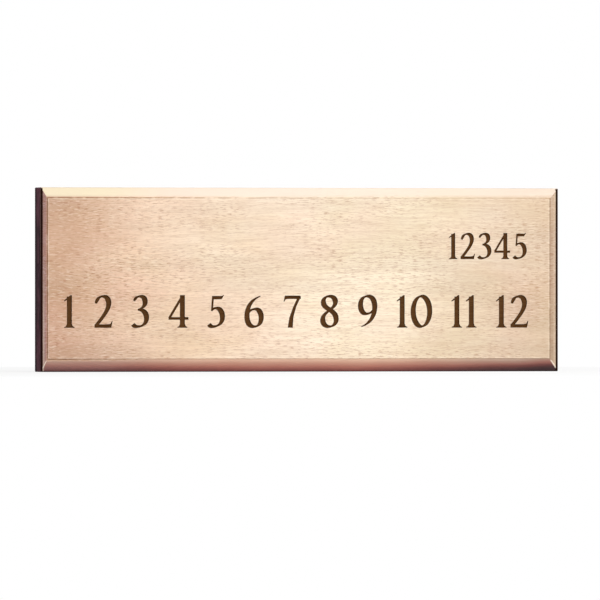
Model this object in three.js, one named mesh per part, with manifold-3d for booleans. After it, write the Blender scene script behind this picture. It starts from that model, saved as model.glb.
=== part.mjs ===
// A door name plate: a bevelled hardwood board with numerals burnt into its face, two keyhole hangers let
// flush into the back with their screws, and four rubber pads that hold it just off the wall.
// Millimetres. X runs to the viewer's right, Z runs up and the face looks along -Y. The wall is the plane
// y = 0, and the origin lies on the wall behind the middle of the plate.

import * as THREE from "three";
import { ConvexGeometry } from "three/addons/geometries/ConvexGeometry.js";
import { mergeVertices } from "three/addons/utils/BufferGeometryUtils.js";
import Module from "manifold-3d";

const wasm = await Module();
wasm.setup();

// Board
const boardWidth = 279.4;
const boardHeight = 96.5;
const boardThickness = 18;
const backArris = 0.6;

// Bevel round the face, slightly crowned. It is narrowest at the left end and widest along the bottom.
const topBevelWidth = 5.2;
const bottomBevelWidth = 6.4;
const leftBevelWidth = 2.7;
const rightBevelWidth = 4.9;
const bevelDepth = 2.6;
const bevelCrown = 0.3;
const bevelSteps = 3;

// Quirk, the small step between the flat of the face and the bevel
const quirkWidth = 0.5;
const quirkDepth = 0.5;

// Burnt numerals: a row of plain numbers along the lower half and one short number above its right end
const rowNumbers = ["1", "2", "3", "4", "5", "6", "7", "8", "9", "10", "11", "12"];
const rowHeight = 17.1;
const rowLeftMargin = 11.2;
const rowRightMargin = 16.8;
const cornerNumber = "12345";
const cornerHeight = 13.8;
const cornerRightMargin = 17.6;
const engravingDepth = 0.7;

// Free height of the flat that lies below the row, and between the row and the corner number
const shareBelowRow = 0.305;
const shareAboveRow = 0.358;

// Pen that draws the numerals, as shares of their height, with the slant of its nib in degrees
const penStem = 0.172;
const penHair = 0.062;
const penSlant = 20;
const penSteps = 5;
const numeralSpace = 0.08;

// Keyhole hangers
const hangerEndMargin = 41.7;
const hangerTopMargin = 10;
const hangerLength = 48;
const hangerWidth = 16;
const hangerThickness = 2;
const entryDiameter = 10;
const slotWidth = 4.8;
const slotRise = 13;
const headPocketMargin = 0.5;
const headPocketDepth = 5.5;

// Screws that hold the hangers
const screwEndMargin = 5;
const screwDiameter = 3;
const screwHeadDiameter = 6;
const screwHeadRim = 0.2;
const screwLength = 12;
const screwPointLength = 3;
const crossLength = 3.4;
const crossWidth = 0.8;
const crossDepth = 1.1;

// Wall pads
const padDiameter = 12;
const padThickness = 2;
const padArris = 0.4;
const padEdgeMargin = 8;

// Fits
const fitGap = 0.3;
const pilotSpare = 0.5;
const overcut = 1;
const roundSteps = 24;

// Planes across the thickness, from the wall forward
const boardBack = -padThickness;
const boardFront = boardBack - boardThickness;
const bevelTop = boardFront + quirkDepth;
const bevelFoot = bevelTop + bevelDepth;

// Places of the hangers and pads on the back
const hangerX = boardWidth / 2 - hangerEndMargin - hangerWidth / 2;
const hangerZ = boardHeight / 2 - hangerTopMargin - hangerLength / 2;
const screwRise = hangerLength / 2 - screwEndMargin;
const entryRise = (entryDiameter / 2 - slotWidth / 2 - slotRise) / 2;
const slotTopRise = entryRise + slotRise;
const padX = boardWidth / 2 - padEdgeMargin - padDiameter / 2;
const padZ = boardHeight / 2 - padEdgeMargin - padDiameter / 2;

const wood = new THREE.MeshStandardMaterial({ color: 0xecd0b0, roughness: 0.6, metalness: 0 });
const platedSteel = new THREE.MeshStandardMaterial({ color: 0xc3c5c8, roughness: 0.35, metalness: 1 });
const passivatedSteel = new THREE.MeshStandardMaterial({ color: 0xcdb478, roughness: 0.35, metalness: 1 });
const rubber = new THREE.MeshStandardMaterial({ color: 0x2c2a29, roughness: 0.8, metalness: 0 });

// A closed geometry as a solid that can be joined and cut.
function solidOf(geometry) {
  const bare = geometry.index ? geometry.toNonIndexed() : geometry.clone();
  bare.deleteAttribute("normal");
  bare.deleteAttribute("uv");
  const merged = mergeVertices(bare, 1e-4);
  return new wasm.Manifold(
    new wasm.Mesh({
      numProp: 3,
      vertProperties: merged.getAttribute("position").array,
      triVerts: new Uint32Array(merged.index.array),
    }),
  );
}

// A solid as a mesh of one material, under its own name.
function meshOf(name, solid, material) {
  const { vertProperties, triVerts } = solid.getMesh();
  const geometry = new THREE.BufferGeometry();
  geometry.setAttribute("position", new THREE.BufferAttribute(vertProperties, 3));
  geometry.setIndex(new THREE.BufferAttribute(triVerts, 1));
  geometry.computeVertexNormals();
  const mesh = new THREE.Mesh(geometry, material);
  mesh.name = name;
  return mesh;
}

function joined(solids) {
  return solids.reduce((all, solid) => all.add(solid));
}

// A flat outline, drawn as seen from the front, filled from the plane y = back to the plane y = front.
function slab(shape, back, front) {
  const options = { depth: back - front, bevelEnabled: false, curveSegments: roundSteps / 2 };
  return new THREE.ExtrudeGeometry(shape, options).rotateX(Math.PI / 2).translate(0, back, 0);
}

// An upright slot with round ends, between the centres of its two end arcs.
function slotShape(halfWidth, lowCentre, highCentre) {
  return new THREE.Shape()
    .moveTo(halfWidth, lowCentre)
    .lineTo(halfWidth, highCentre)
    .absarc(0, highCentre, halfWidth, 0, Math.PI)
    .lineTo(-halfWidth, lowCentre)
    .absarc(0, lowCentre, halfWidth, Math.PI, 2 * Math.PI);
}

// A round piece on an axis along Y. The profile is pairs of radius and y, from the axis back to the axis.
function turned(profile) {
  const points = profile.map(([radius, y]) => new THREE.Vector2(radius, y));
  return new THREE.LatheGeometry(points, roundSteps);
}

// Numerals, drawn on a height of 1 with their left edge at 0.

// How wide the pen marks when it moves in a direction.
function penWidth(along) {
  const turn = along.angle() - THREE.MathUtils.degToRad(penSlant);
  return Math.hypot(penStem * Math.sin(turn), penHair * Math.cos(turn));
}

// Points on both sides of a path, at the distance that the pen's width gives.
function penSides(path) {
  const left = [];
  const right = [];
  for (const curve of path.curves) {
    for (let step = left.length ? 1 : 0; step <= penSteps; step++) {
      const centre = curve.getPoint(step / penSteps);
      const along = curve.getTangent(step / penSteps);
      const across = new THREE.Vector2(-along.y, along.x).multiplyScalar(penWidth(along) / 2);
      left.push(centre.clone().add(across));
      right.push(centre.clone().sub(across));
    }
  }
  return { left, right };
}

// A pen stroke: its start, then two handles and an end for each curve. Thin shares narrow its two ends.
function pen(start, curves, [thinStart, thinEnd] = [1, 1]) {
  const path = new THREE.Path().moveTo(...start);
  curves.forEach((curve) => path.bezierCurveTo(...curve));
  const { left, right } = penSides(path);
  const narrow = (index, share) => {
    const centre = left[index].clone().add(right[index]).multiplyScalar(0.5);
    left[index].lerpVectors(centre, left[index].clone(), share);
    right[index].lerpVectors(centre, right[index].clone(), share);
  };
  const last = left.length - 1;
  narrow(0, thinStart);
  narrow(1, (1 + thinStart) / 2);
  narrow(last, thinEnd);
  narrow(last - 1, (1 + thinEnd) / 2);
  return new THREE.Shape([...left, ...right.reverse()]);
}

// A closed oval, drawn by the same pen.
function penRing(x, y, radiusX, radiusY) {
  const quarters = [0, 1, 2, 3].map((quarter) => (quarter * Math.PI) / 2);
  const path = new THREE.Path();
  quarters.forEach((turn) => path.absellipse(x, y, radiusX, radiusY, turn, turn + Math.PI / 2));
  const { left, right } = penSides({ curves: path.curves.filter((curve) => curve.isEllipseCurve) });
  const ring = new THREE.Shape(right.slice(0, -1));
  ring.holes.push(new THREE.Path(left.slice(0, -1)));
  return ring;
}

// A straight stroke of one width.
function bar([x1, y1], [x2, y2], width) {
  const across = new THREE.Vector2(y1 - y2, x2 - x1).setLength(width / 2);
  return new THREE.Shape([
    new THREE.Vector2(x1, y1).add(across),
    new THREE.Vector2(x1, y1).sub(across),
    new THREE.Vector2(x2, y2).sub(across),
    new THREE.Vector2(x2, y2).add(across),
  ]);
}

function wedge(...points) {
  return new THREE.Shape(points.map(([x, y]) => new THREE.Vector2(x, y)));
}

// An upright main stroke and the bracketed serif that it stands on.
function stem(x, top) {
  return bar([x, 0], [x, top], 0.91 * penStem);
}
function serif(x, reach) {
  const half = 0.45 * penStem;
  const side = (sign) => [
    [x + sign * reach, 0],
    [x + sign * reach, 0.022],
    [x + sign * (half + 0.03), 0.05],
    [x + sign * half, 0.12],
  ];
  return wedge(...side(1), ...side(-1).reverse());
}

// The same strokes turned half a turn within the numeral's width.
function halfTurned(shapes, width) {
  const turn = ({ x, y }) => new THREE.Vector2(width - x, 1 - y);
  return shapes.map((shape) => new THREE.Shape(shape.getPoints().map(turn)));
}

const sixStrokes = [
  pen(
    [0.52, 0.965],
    [
      [0.3, 0.9, 0.095, 0.7, 0.095, 0.36],
      [0.095, 0.14, 0.19, 0.034, 0.325, 0.034],
      [0.46, 0.034, 0.545, 0.15, 0.545, 0.31],
      [0.545, 0.47, 0.465, 0.572, 0.36, 0.572],
    ],
    [0.5, 1],
  ),
  pen([0.375, 0.572], [[0.27, 0.575, 0.18, 0.53, 0.12, 0.45]]),
];

const numerals = {
  0: { width: 0.7, strokes: [penRing(0.35, 0.5, 0.262, 0.465)] },
  1: {
    width: 0.38,
    strokes: [
      stem(0.2, 0.955),
      wedge([0.03, 0.8], [0.03, 0.835], [0.235, 1], [0.278, 1], [0.278, 0.85], [0.125, 0.85]),
      serif(0.2, 0.165),
    ],
  },
  2: {
    width: 0.61,
    strokes: [
      pen(
        [0.075, 0.745],
        [
          [0.105, 0.875, 0.185, 0.96, 0.295, 0.96],
          [0.415, 0.96, 0.475, 0.865, 0.475, 0.75],
          [0.475, 0.54, 0.29, 0.33, 0.075, 0.06],
        ],
        [0.5, 1],
      ),
      wedge([0.03, 0], [0.555, 0], [0.6, 0.205], [0.575, 0.205], [0.53, 0.125], [0.45, 0.105], [0.03, 0.105]),
    ],
  },
  3: {
    width: 0.57,
    strokes: [
      pen(
        [0.08, 0.82],
        [
          [0.125, 0.915, 0.19, 0.96, 0.275, 0.96],
          [0.375, 0.96, 0.43, 0.89, 0.43, 0.79],
          [0.43, 0.67, 0.34, 0.585, 0.2, 0.555],
        ],
        [0.5, 0.7],
      ),
      pen(
        [0.2, 0.55],
        [
          [0.37, 0.56, 0.475, 0.46, 0.475, 0.3],
          [0.475, 0.14, 0.36, 0.036, 0.2, 0.036],
          [0.13, 0.036, 0.08, 0.06, 0.045, 0.105],
        ],
        [0.7, 0.8],
      ),
    ],
  },
  4: {
    width: 0.67,
    strokes: [
      bar([0.455, 0.97], [0.045, 0.295], 0.075),
      bar([0.02, 0.285], [0.645, 0.285], 0.082),
      stem(0.455, 1),
      serif(0.455, 0.155),
    ],
  },
  5: {
    width: 0.57,
    strokes: [
      wedge([0.145, 0.87], [0.445, 0.87], [0.52, 1], [0.5, 1.01], [0.46, 0.975], [0.145, 0.975]),
      bar([0.174, 0.97], [0.138, 0.51], penHair),
      pen(
        [0.125, 0.525],
        [
          [0.165, 0.58, 0.22, 0.6, 0.27, 0.6],
          [0.4, 0.6, 0.47, 0.47, 0.47, 0.325],
          [0.47, 0.15, 0.345, 0.036, 0.18, 0.036],
          [0.12, 0.036, 0.075, 0.06, 0.04, 0.105],
        ],
        [0.5, 0.8],
      ),
    ],
  },
  6: { width: 0.64, strokes: sixStrokes },
  7: {
    width: 0.6,
    strokes: [
      wedge(
        [0.035, 0.8],
        [0.06, 0.8],
        [0.1, 0.865],
        [0.165, 0.88],
        [0.58, 0.88],
        [0.58, 0.945],
        [0.56, 0.985],
        [0.075, 0.985],
      ),
      wedge(
        [0.47, 0.92],
        [0.58, 0.945],
        [0.44, 0.66],
        [0.345, 0.33],
        [0.325, 0],
        [0.165, 0],
        [0.215, 0.3],
        [0.33, 0.62],
      ),
    ],
  },
  8: {
    width: 0.62,
    strokes: [
      pen(
        [0.31, 0.965],
        [
          [0.19, 0.965, 0.115, 0.885, 0.115, 0.785],
          [0.115, 0.55, 0.52, 0.56, 0.52, 0.265],
          [0.52, 0.13, 0.43, 0.034, 0.305, 0.034],
        ],
      ),
      pen(
        [0.31, 0.034],
        [
          [0.17, 0.034, 0.095, 0.13, 0.095, 0.25],
          [0.095, 0.49, 0.495, 0.56, 0.495, 0.79],
          [0.495, 0.89, 0.42, 0.965, 0.3, 0.965],
        ],
      ),
    ],
  },
  9: { width: 0.64, strokes: halfTurned(sixStrokes, 0.64) },
};

// The width of a number of one or more numerals.
function numberWidth(text, height) {
  const widths = [...text].map((digit) => numerals[digit].width);
  return height * (widths.reduce((sum, width) => sum + width) + numeralSpace * (text.length - 1));
}

// The solids that burn a number into the face, from its left edge and its base line.
function numberCuts(text, height, left, base) {
  const cuts = [];
  let x = left;
  for (const digit of text) {
    for (const stroke of numerals[digit].strokes) {
      const cut = slab(stroke, boardFront + engravingDepth, boardFront - overcut);
      cuts.push(solidOf(cut.scale(height, 1, height).translate(x, 0, base)));
    }
    x += height * (numerals[digit].width + numeralSpace);
  }
  return cuts;
}

// Both lines of numbers. The row fills the span between its margins, with equal spaces.
function engraving() {
  const flatBottom = -boardHeight / 2 + bottomBevelWidth + quirkWidth;
  const flatTop = boardHeight / 2 - topBevelWidth - quirkWidth;
  const freeHeight = flatTop - flatBottom - rowHeight - cornerHeight;
  const rowBase = flatBottom + shareBelowRow * freeHeight;
  const cornerBase = rowBase + rowHeight + shareAboveRow * freeHeight;
  const cornerLeft = boardWidth / 2 - cornerRightMargin - numberWidth(cornerNumber, cornerHeight);
  const cuts = numberCuts(cornerNumber, cornerHeight, cornerLeft, cornerBase);

  const widths = rowNumbers.map((text) => numberWidth(text, rowHeight));
  const span = boardWidth - rowLeftMargin - rowRightMargin;
  const space = (span - widths.reduce((sum, width) => sum + width)) / (rowNumbers.length - 1);
  let x = -boardWidth / 2 + rowLeftMargin;
  rowNumbers.forEach((text, index) => {
    cuts.push(...numberCuts(text, rowHeight, x, rowBase));
    x += widths[index] + space;
  });
  return joined(cuts);
}

// The corners of the board's outline at a depth y, drawn in by an inset at the left, right, top and bottom.
function outlineCorners([leftInset, rightInset, topInset, bottomInset], y) {
  const left = -boardWidth / 2 + leftInset;
  const right = boardWidth / 2 - rightInset;
  const top = boardHeight / 2 - topInset;
  const bottom = -boardHeight / 2 + bottomInset;
  return [
    [left, bottom],
    [right, bottom],
    [right, top],
    [left, top],
  ].map(([x, z]) => new THREE.Vector3(x, y, z));
}

// The board before anything is cut into it: a convex block with the crowned bevel, and the raised flat.
function boardBlank() {
  const corners = [
    ...outlineCorners([backArris, backArris, backArris, backArris], boardBack),
    ...outlineCorners([0, 0, 0, 0], boardBack - backArris),
  ];
  for (let step = 0; step <= bevelSteps; step++) {
    const share = step / bevelSteps;
    const y = bevelTop + bevelDepth * share - 4 * bevelCrown * share * (1 - share);
    const widths = [leftBevelWidth, rightBevelWidth, topBevelWidth, bottomBevelWidth];
    corners.push(...outlineCorners(widths.map((width) => width * (1 - share)), y));
  }
  const flatWidth = boardWidth - leftBevelWidth - rightBevelWidth - 2 * quirkWidth;
  const flatHeight = boardHeight - topBevelWidth - bottomBevelWidth - 2 * quirkWidth;
  const flat = new THREE.BoxGeometry(flatWidth, bevelFoot - boardFront, flatHeight);
  const [flatX, flatZ] = [(leftBevelWidth - rightBevelWidth) / 2, (bottomBevelWidth - topBevelWidth) / 2];
  flat.translate(flatX, (bevelFoot + boardFront) / 2, flatZ);
  return solidOf(new ConvexGeometry(corners)).add(solidOf(flat));
}

// The outline of a screw, or of the room round it, with the top of its head at the plane y = above.
function screwProfile({ gap, length, point, above }) {
  const headRadius = screwHeadDiameter / 2 + gap;
  const shankRadius = screwDiameter / 2 + gap;
  const coneFoot = -screwHeadRim - (headRadius - shankRadius);
  return [
    [0, -length],
    [shankRadius, -length + point],
    [shankRadius, coneFoot],
    [headRadius, -screwHeadRim],
    [headRadius, above],
    [0, above],
  ];
}

// The countersink and pilot hole for a screw, which are cut through the hanger into the board.
function screwRoom() {
  const room = { gap: fitGap, length: screwLength + pilotSpare, point: 0, above: overcut };
  return solidOf(turned(screwProfile(room)));
}

// A countersunk wood screw with a cross recess.
function plateScrew() {
  const arm = (width, height) => solidOf(new THREE.BoxGeometry(width, 2 * crossDepth, height));
  const cross = arm(crossLength, crossWidth).add(arm(crossWidth, crossLength));
  const screw = { gap: 0, length: screwLength, point: screwPointLength, above: 0 };
  return solidOf(turned(screwProfile(screw))).subtract(cross);
}

// The two screws' places on a hanger, upper and lower.
const screwPlaces = [
  { name: "upper", z: screwRise },
  { name: "lower", z: -screwRise },
];

// A keyhole hanger with its back at the plane y = 0: a flat plate, a round entry below and a slot above it.
function keyholePlate() {
  const endRadius = hangerWidth / 2;
  const endCentre = hangerLength / 2 - endRadius;
  const plate = solidOf(slab(slotShape(endRadius, -endCentre, endCentre), 0, -hangerThickness));
  const entry = slotShape(entryDiameter / 2, entryRise, entryRise);
  const slot = slotShape(slotWidth / 2, entryRise, slotTopRise);
  const keyhole = [entry, slot].map((shape) => solidOf(slab(shape, overcut, -hangerThickness - overcut)));
  const sinks = screwPlaces.map(({ z }) => screwRoom().translate([0, 0, z]));
  return plate.subtract(joined([...keyhole, ...sinks]));
}

// What the board loses behind a hanger: the plate's seat, room for a wall screw's head and pilot holes.
function hangerRoom() {
  const endRadius = hangerWidth / 2;
  const endCentre = hangerLength / 2 - endRadius;
  const seatShape = slotShape(endRadius + fitGap, -endCentre, endCentre);
  const headShape = slotShape(entryDiameter / 2 + headPocketMargin, entryRise, slotTopRise);
  const seat = solidOf(slab(seatShape, overcut, -hangerThickness));
  const headPocket = solidOf(slab(headShape, overcut, -hangerThickness - headPocketDepth));
  const pilots = screwPlaces.map(({ z }) => screwRoom().translate([0, 0, z]));
  return joined([seat, headPocket, ...pilots]);
}

// A rubber disc with its wall side at the plane y = 0.
function wallPad() {
  const radius = padDiameter / 2;
  const profile = [
    [0, -padThickness],
    [radius, -padThickness],
    [radius, -padArris],
    [radius - padArris, 0],
    [0, 0],
  ];
  return solidOf(turned(profile));
}

const sides = [
  { name: "left", sign: -1 },
  { name: "right", sign: 1 },
];

function faceBoard() {
  const rooms = sides.map(({ sign }) => hangerRoom().translate([sign * hangerX, boardBack, hangerZ]));
  return boardBlank().subtract(joined([...rooms, engraving()]));
}

// One hanger with its two screws, flush with the back of the board.
function hanger({ name, sign }) {
  const group = new THREE.Group();
  group.position.set(sign * hangerX, boardBack, hangerZ);
  group.add(meshOf(`keyhole_plate_${name}`, keyholePlate(), platedSteel));
  for (const place of screwPlaces) {
    const screw = meshOf(`plate_screw_${name}_${place.name}`, plateScrew(), passivatedSteel);
    screw.position.z = place.z;
    group.add(screw);
  }
  return group;
}

// The two pads on one side of the plate.
function padPair({ name, sign }) {
  const group = new THREE.Group();
  const heights = [
    { level: "top", z: padZ },
    { level: "bottom", z: -padZ },
  ];
  for (const { level, z } of heights) {
    const pad = meshOf(`wall_pad_${level}_${name}`, wallPad(), rubber);
    pad.position.set(sign * padX, 0, z);
    group.add(pad);
  }
  return group;
}

const namePlate = new THREE.Group();
namePlate.add(meshOf("face_board", faceBoard(), wood));
for (const side of sides) {
  namePlate.add(hanger(side), padPair(side));
}

export default namePlate;
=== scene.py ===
"""A name plate of pale hardwood with burnt numerals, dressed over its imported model.

The frame gives the place of every piece: the board, the two keyhole hangers let into its back, their
screws and the rubber wall pads. Lengths are in metres. X runs to the viewer's right, Z runs up, the face
looks along -Y and the wall is the plane y = 0.
"""

import logging
import math
from collections.abc import Callable, Iterator
from contextlib import contextmanager
from dataclasses import dataclass, field
from enum import Enum

import bmesh
import bpy
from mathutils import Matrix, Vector


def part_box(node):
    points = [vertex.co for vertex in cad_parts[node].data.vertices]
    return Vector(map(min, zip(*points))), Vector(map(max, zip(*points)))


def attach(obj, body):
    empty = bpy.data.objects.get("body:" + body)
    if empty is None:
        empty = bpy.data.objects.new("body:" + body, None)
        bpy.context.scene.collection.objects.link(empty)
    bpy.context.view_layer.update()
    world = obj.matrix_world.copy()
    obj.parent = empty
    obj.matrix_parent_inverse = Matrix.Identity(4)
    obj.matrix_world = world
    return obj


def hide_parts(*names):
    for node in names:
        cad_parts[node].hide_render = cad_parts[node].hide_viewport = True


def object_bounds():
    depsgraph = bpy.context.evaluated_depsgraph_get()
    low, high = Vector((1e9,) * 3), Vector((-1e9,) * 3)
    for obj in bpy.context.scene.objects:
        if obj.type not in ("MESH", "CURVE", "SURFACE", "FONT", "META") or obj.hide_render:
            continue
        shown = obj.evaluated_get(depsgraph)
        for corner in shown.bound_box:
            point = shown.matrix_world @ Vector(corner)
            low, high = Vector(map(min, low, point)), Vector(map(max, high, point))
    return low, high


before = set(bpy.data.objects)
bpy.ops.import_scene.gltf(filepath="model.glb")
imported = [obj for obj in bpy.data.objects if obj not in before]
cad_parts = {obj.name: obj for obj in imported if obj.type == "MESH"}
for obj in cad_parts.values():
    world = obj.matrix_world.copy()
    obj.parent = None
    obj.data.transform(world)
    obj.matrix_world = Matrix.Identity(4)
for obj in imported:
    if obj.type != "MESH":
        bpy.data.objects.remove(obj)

CAD_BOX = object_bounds()
BODY = "root"
MM = 0.001
NEAR = 0.01 * MM
SMOOTH_ANGLE = math.radians(32.0)

log = logging.getLogger("name_plate")

Colour = tuple[float, float, float, float]
Curve = tuple[float, float, float, float, float, float]
Link = bpy.types.NodeSocket
Moves = dict[str, Vector]
Patch = list[Vector]
Piece = bpy.types.Object
Point = tuple[float, float]
Scale = tuple[float, float, float]
Stops = tuple[tuple[float, Colour], ...]


# Modelling tools


class Part(Enum):
    """What is selected in edit mode, with bmesh's own name for it."""

    VERT = "verts"
    EDGE = "edges"
    FACE = "faces"


def pick(piece: Piece) -> None:
    """Makes a piece the only selected one and the active one.

    Args:
        piece: The piece to select.
    """
    bpy.ops.object.select_all(action="DESELECT")
    piece.select_set(True)
    bpy.context.view_layer.objects.active = piece


def settle(name: str) -> Piece:
    """Names the active object and moves its place, turn and scale into its mesh.

    Args:
        name: The piece's name.

    Returns:
        The piece, whose object now sits at the origin.
    """
    piece = bpy.context.object
    pick(piece)
    bpy.ops.object.transform_apply(location=True, rotation=True, scale=True)
    piece.name = name
    piece.data.name = name
    return piece


@contextmanager
def editing(piece: Piece, part: Part, wanted: Callable[..., bool]) -> Iterator[None]:
    """Opens a piece in edit mode with some of its parts selected, and closes it again.

    Args:
        piece: The piece to edit.
        part: What is selected there.
        wanted: Takes one of them and says whether it is selected.

    Returns:
        A context in which the mesh operators act on the piece.
    """
    pick(piece)
    bpy.ops.object.mode_set(mode="EDIT")
    bpy.ops.mesh.select_mode(type=part.name)
    bpy.ops.mesh.select_all(action="DESELECT")
    shape = bmesh.from_edit_mesh(piece.data)
    for item in getattr(shape, part.value):
        if wanted(item):
            item.select_set(True)
    bmesh.update_edit_mesh(piece.data)
    yield
    bpy.ops.object.mode_set(mode="OBJECT")


def faces_front(face: bmesh.types.BMFace) -> bool:
    """Whether a face looks along -Y."""
    return face.normal.y < -0.9


def lies_at(edge: bmesh.types.BMEdge, plane: float) -> bool:
    """Whether an edge lies in a plane across Y."""
    return all(abs(vert.co.y - plane) < NEAR for vert in edge.verts)


def extrude(move: float, grow: float = 1.0, centre: Vector | None = None) -> None:
    """Extrudes the selected faces along Y and resizes their new end.

    Args:
        move: The distance along Y.
        grow: The factor of the new end's size in X and Z.
        centre: The point about which it is resized, if it is.
    """
    bpy.ops.mesh.extrude_region_move(TRANSFORM_OT_translate={"value": (0.0, move, 0.0)})
    if centre is not None:
        bpy.ops.transform.resize(value=(grow, 1.0, grow), center_override=centre)


def finish_with(piece: Piece, kind: str, **settings: object) -> None:
    """Adds a modifier to a piece and applies it.

    Args:
        piece: The piece to change.
        kind: The modifier's type.
        **settings: Its properties.
    """
    pick(piece)
    modifier = piece.modifiers.new(kind.title(), kind)
    for name, value in settings.items():
        setattr(modifier, name, value)
    bpy.ops.object.modifier_apply(modifier=modifier.name)


def cut(piece: Piece, tool: Piece, crossed: bool = False) -> None:
    """Cuts a tool out of a piece, and removes the tool.

    Args:
        piece: The piece that stays.
        tool: The closed shape that is used up.
        crossed: Whether the tool's own shells cross each other.
    """
    finish_with(
        piece,
        "BOOLEAN",
        operation="DIFFERENCE",
        solver="EXACT",
        object=tool,
        use_self=crossed,
        material_mode="TRANSFER",
    )
    bpy.data.objects.remove(tool)


def soften(piece: Piece, width: float, steps: int, least: float) -> None:
    """Rounds the edges of a piece that are sharper than an angle.

    Args:
        piece: The piece to round.
        width: How far the rounding reaches from the edge.
        steps: How many faces it gets.
        least: The least angle that is rounded, in degrees.
    """
    finish_with(
        piece,
        "BEVEL",
        width=width,
        segments=steps,
        limit_method="ANGLE",
        angle_limit=math.radians(least),
        use_clamp_overlap=True,
    )


def shade(piece: Piece) -> None:
    """Shades a piece smooth across its shallow edges, and keeps its large flat faces flat.

    Args:
        piece: The piece to shade.
    """
    pick(piece)
    bpy.ops.object.shade_smooth_by_angle(angle=SMOOTH_ANGLE)
    finish_with(piece, "WEIGHTED_NORMAL", mode="FACE_AREA", weight=50, keep_sharp=True)


def dress(piece: Piece, finish: bpy.types.Material) -> None:
    """Gives a whole piece one finish."""
    piece.data.materials.clear()
    piece.data.materials.append(finish)


def place(piece: Piece, node: str) -> None:
    """Puts a finished piece in the place of a node of the frame.

    Args:
        piece: The finished piece.
        node: The node that it stands for.
    """
    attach(piece, BODY)
    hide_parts(node)
    log.info("%s: %d faces in place of %s", piece.name, len(piece.data.polygons), node)


def copied(piece: Piece, name: str, move: Vector) -> Piece:
    """Copies a piece with a mesh of its own.

    Args:
        piece: The piece to copy.
        name: The copy's name.
        move: How far the copy lies from the piece.

    Returns:
        The copy.
    """
    pick(piece)
    bpy.ops.object.duplicate(linked=False)
    bpy.context.object.location = move
    return settle(name)


def set_out(
    piece: Piece, finish: bpy.types.Material, kind: str, node: str, moves: Moves
) -> None:
    """Dresses a piece, copies it to its other places and puts each one in the place of its node.

    Args:
        piece: The piece in the first of its places.
        finish: The finish of them all.
        kind: The start of each one's name.
        node: The start of the name of each one's node.
        moves: How far each one lies from the first, by the end of its name.
    """
    first, *others = moves
    made = {first: piece} | {where: copied(piece, f"{kind}_{where}", moves[where]) for where in others}
    for where, one in made.items():
        dress(one, finish)
        shade(one)
        place(one, f"{node}_{where}")


def round_bar(name: str, radius: float, span: Point, x: float, z: float, sides: int = 64) -> Piece:
    """Adds a cylinder along Y, which the caller then shapes or uses as a tool.

    Args:
        name: Its name.
        radius: Its radius.
        span: Where it starts and ends along Y.
        x: The axis's place in X.
        z: The axis's place in Z.
        sides: The number of sides, with none of its corners level with the axis.

    Returns:
        The cylinder.
    """
    bpy.ops.mesh.primitive_cylinder_add(
        vertices=sides,
        radius=radius,
        depth=abs(span[1] - span[0]),
        location=(x, (span[0] + span[1]) / 2, z),
        rotation=(math.pi / 2, math.pi / sides, 0.0),
    )
    return settle(name)


def round_slot(name: str, radius: float, span: Point, x: float, low: float, high: float) -> Piece:
    """Adds an upright bar with round ends.

    Args:
        name: Its name.
        radius: The radius of its ends.
        span: Where it starts and ends along Y.
        x: Its place in X.
        low: The height of the lower end's centre.
        high: The height of the upper end's centre.

    Returns:
        The slot.
    """
    slot = round_bar(name, radius, span, x, low)
    with editing(slot, Part.VERT, lambda vert: vert.co.z > low):
        bpy.ops.transform.translate(value=(0.0, 0.0, high - low))
    return slot


@dataclass(frozen=True)
class Edges:
    """The four sides of an upright rectangle."""

    left: float
    right: float
    bottom: float
    top: float

    @property
    def width(self) -> float:
        """How wide it is."""
        return self.right - self.left

    @property
    def height(self) -> float:
        """How high it is."""
        return self.top - self.bottom

    @property
    def middle(self) -> Vector:
        """Its middle, on the plane y = 0."""
        return Vector(((self.left + self.right) / 2, 0.0, (self.bottom + self.top) / 2))


# Shader arithmetic


def linear(value: float) -> float:
    """A display value, 0 to 255, as a linear one."""
    share = value / 255
    return share / 12.92 if share <= 0.04045 else ((share + 0.055) / 1.055) ** 2.4


def srgb(red: float, green: float, blue: float) -> Colour:
    """A colour from its three display values, 0 to 255, as the shader takes it."""
    return (linear(red), linear(green), linear(blue), 1.0)


WHITE = srgb(255, 255, 255)


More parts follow.
